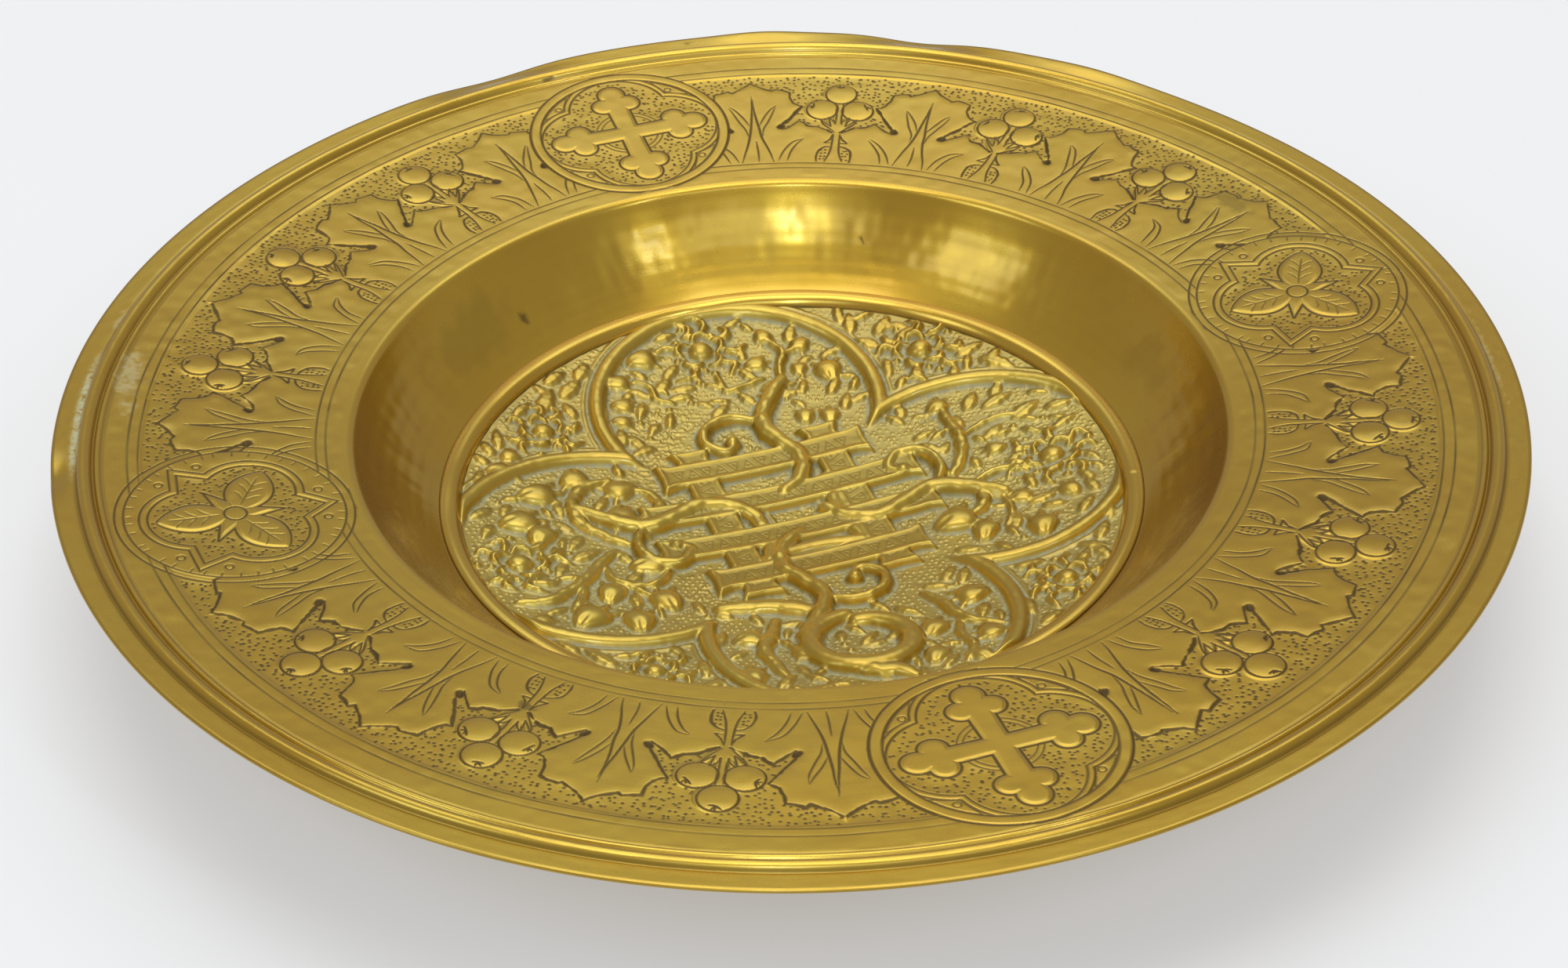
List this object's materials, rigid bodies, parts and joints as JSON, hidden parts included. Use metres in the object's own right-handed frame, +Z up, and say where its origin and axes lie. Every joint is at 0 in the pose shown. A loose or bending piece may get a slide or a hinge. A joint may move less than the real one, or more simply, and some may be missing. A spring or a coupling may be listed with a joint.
{
  "type": "offering plate",
  "caption": "Round brass offering plate with a wide chased border, a deep round well and a raised medallion held by a half-round ring.",
  "frame": {"origin": "centre of the underside of the flat floor, on the surface that the plate rests on", "axes": "+Z up out of the well, -Y towards the front, +X to the right"},
  "size_m": [0.406, 0.406, 0.0523],
  "materials": {
    "dish_brass": "polished yellow brass with light golden brown tarnish",
    "medallion_brass": "polished high relief with pale grey-green residue in the recesses",
    "ring_brass": "bright polished brass",
    "soft_solder": "dull grey soft solder"
  },
  "bodies": {
    "root": {"dish_body": "dish_brass", "medallion": "medallion_brass", "medallion_ring": "ring_brass", "ring_solder": "soft_solder"}
  },
  "joints": []
}
